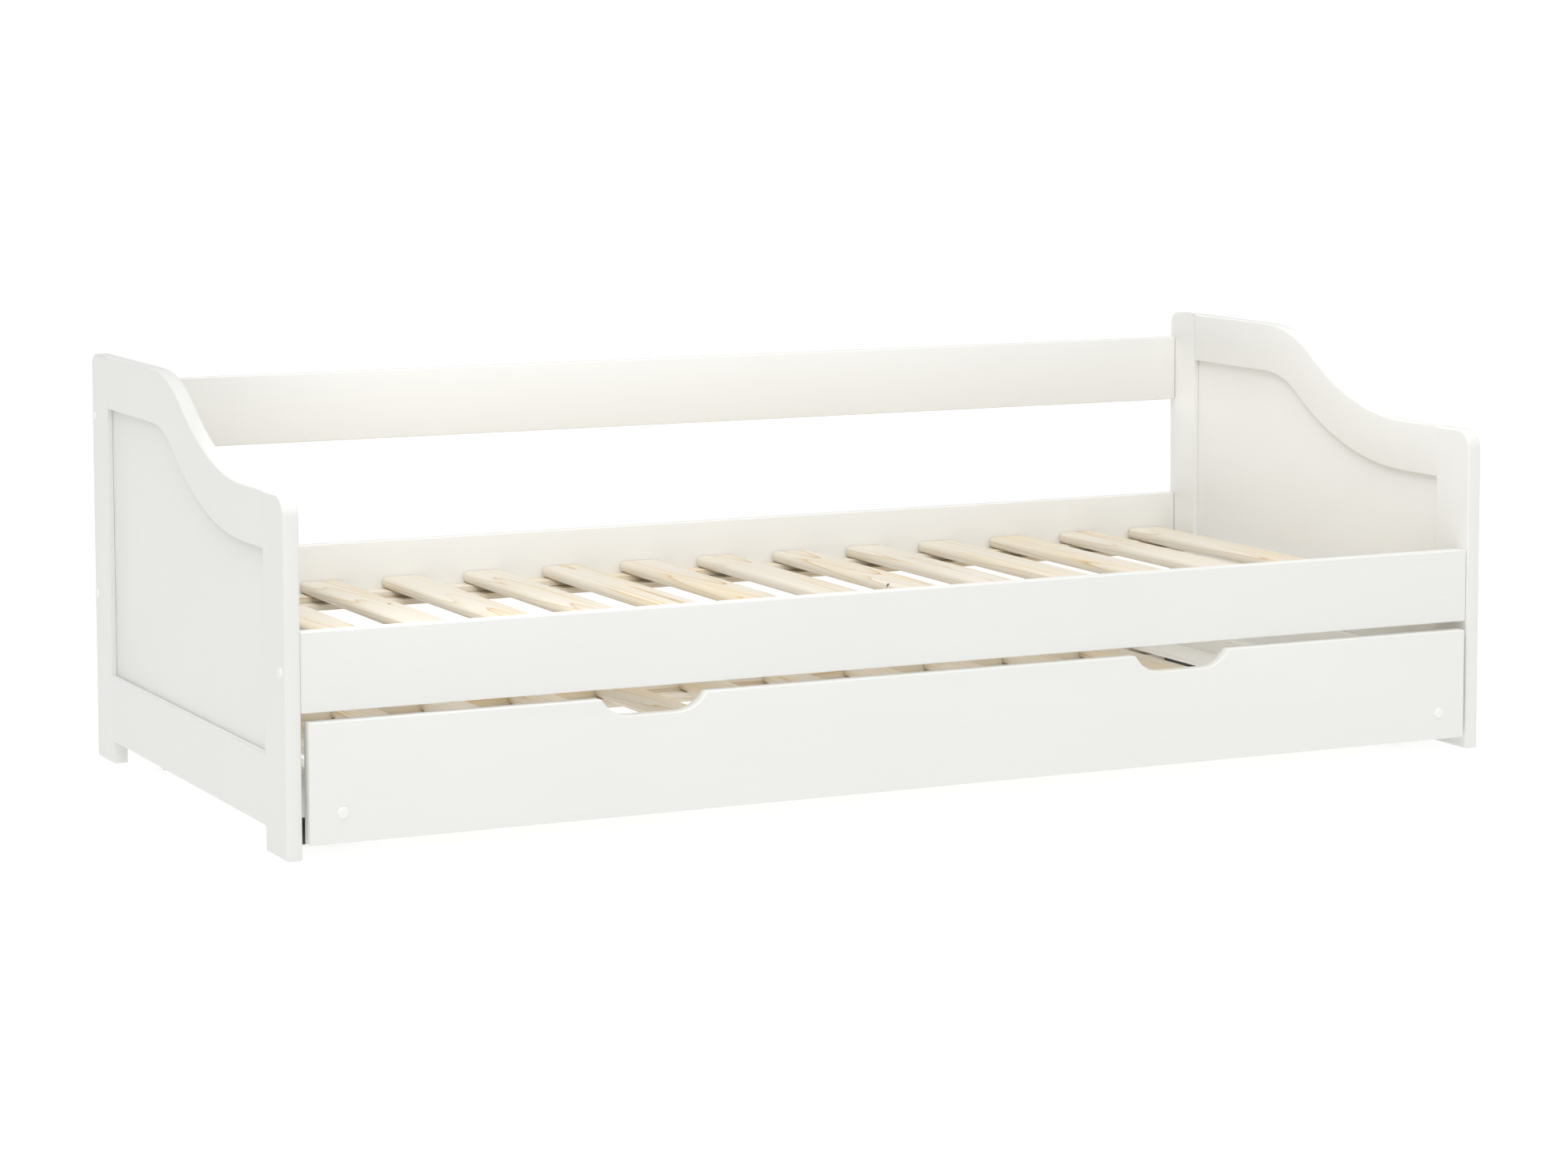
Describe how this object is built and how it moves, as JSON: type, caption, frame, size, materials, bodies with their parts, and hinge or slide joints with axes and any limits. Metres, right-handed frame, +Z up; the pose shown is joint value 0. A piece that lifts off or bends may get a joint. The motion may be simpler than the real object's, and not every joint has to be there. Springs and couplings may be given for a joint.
{
  "type": "trundle bed",
  "caption": "Day bed of white painted boards with a slatted base and a low slatted trundle that rolls out from under it on wheels.",
  "frame": {"origin": "bottom centre of the whole object with the trundle pushed in, on the floor", "axes": "+Z up, +X along the bed to the right end, -Y out of the open front, the way the trundle rolls out"},
  "size_m": [2.06, 0.958, 0.661],
  "materials": {
    "white_paint": "pine boards under satin white paint",
    "pine": "bare planed pine",
    "black_plastic": "moulded black plastic"
  },
  "bodies": {
    "bed": {"left_rear_post": "white_paint", "left_front_post": "white_paint", "left_top_rail": "white_paint", "left_bottom_rail": "white_paint", "left_panel": "white_paint", "right_rear_post": "white_paint", "right_front_post": "white_paint", "right_top_rail": "white_paint", "right_bottom_rail": "white_paint", "right_panel": "white_paint", "backrest_rail": "white_paint", "rear_rail": "white_paint", "front_rail": "white_paint", "rear_batten": "pine", "rear_ledger": "pine", "front_batten": "pine", "front_ledger": "pine", "slat_01": "pine", "slat_02": "pine", "slat_03": "pine", "slat_04": "pine", "slat_05": "pine", "slat_06": "pine", "slat_07": "pine", "slat_08": "pine", "slat_09": "pine", "slat_10": "pine", "slat_11": "pine", "slat_12": "pine", "slat_13": "pine", "slat_14": "pine"},
    "trundle": {"trundle_front": "white_paint", "trundle_left_rail": "white_paint", "trundle_right_rail": "white_paint", "trundle_rear_rail": "pine", "trundle_rear_ledger": "pine", "trundle_front_ledger": "pine", "trundle_slat_01": "pine", "trundle_slat_02": "pine", "trundle_slat_03": "pine", "trundle_slat_04": "pine", "trundle_slat_05": "pine", "trundle_slat_06": "pine", "trundle_slat_07": "pine", "trundle_slat_08": "pine", "trundle_slat_09": "pine", "trundle_slat_10": "pine", "trundle_slat_11": "pine", "trundle_left_cover": "white_paint", "trundle_right_cover": "white_paint", "carrier_front_left": "black_plastic", "carrier_front_right": "black_plastic", "carrier_rear_left": "black_plastic", "carrier_rear_right": "black_plastic"},
    "wheel_front_left": {"wheel_front_left": "black_plastic"},
    "wheel_front_right": {"wheel_front_right": "black_plastic"},
    "wheel_rear_left": {"wheel_rear_left": "black_plastic"},
    "wheel_rear_right": {"wheel_rear_right": "black_plastic"}
  },
  "joints": [
    {"name": "trundle_slide", "type": "slide", "parent": "bed", "child": "trundle", "axis": [0, -1, 0], "range_m": [0, 0.88]},
    {"name": "wheel_front_left_spin", "type": "hinge", "parent": "trundle", "child": "wheel_front_left", "pos_m": [-0.96825, -0.3585, 0.02], "axis": [1, 0, 0], "continuous": true},
    {"name": "wheel_front_right_spin", "type": "hinge", "parent": "trundle", "child": "wheel_front_right", "pos_m": [0.96825, -0.3585, 0.02], "axis": [1, 0, 0], "continuous": true},
    {"name": "wheel_rear_left_spin", "type": "hinge", "parent": "trundle", "child": "wheel_rear_left", "pos_m": [-0.96825, 0.3025, 0.02], "axis": [1, 0, 0], "continuous": true},
    {"name": "wheel_rear_right_spin", "type": "hinge", "parent": "trundle", "child": "wheel_rear_right", "pos_m": [0.96825, 0.3025, 0.02], "axis": [1, 0, 0], "continuous": true}
  ],
  "couplings": [
    {"joint": "wheel_front_left_spin", "follows": "trundle_slide", "rad_per_m": 50},
    {"joint": "wheel_front_right_spin", "follows": "trundle_slide", "rad_per_m": 50},
    {"joint": "wheel_rear_left_spin", "follows": "trundle_slide", "rad_per_m": 50},
    {"joint": "wheel_rear_right_spin", "follows": "trundle_slide", "rad_per_m": 50}
  ]
}
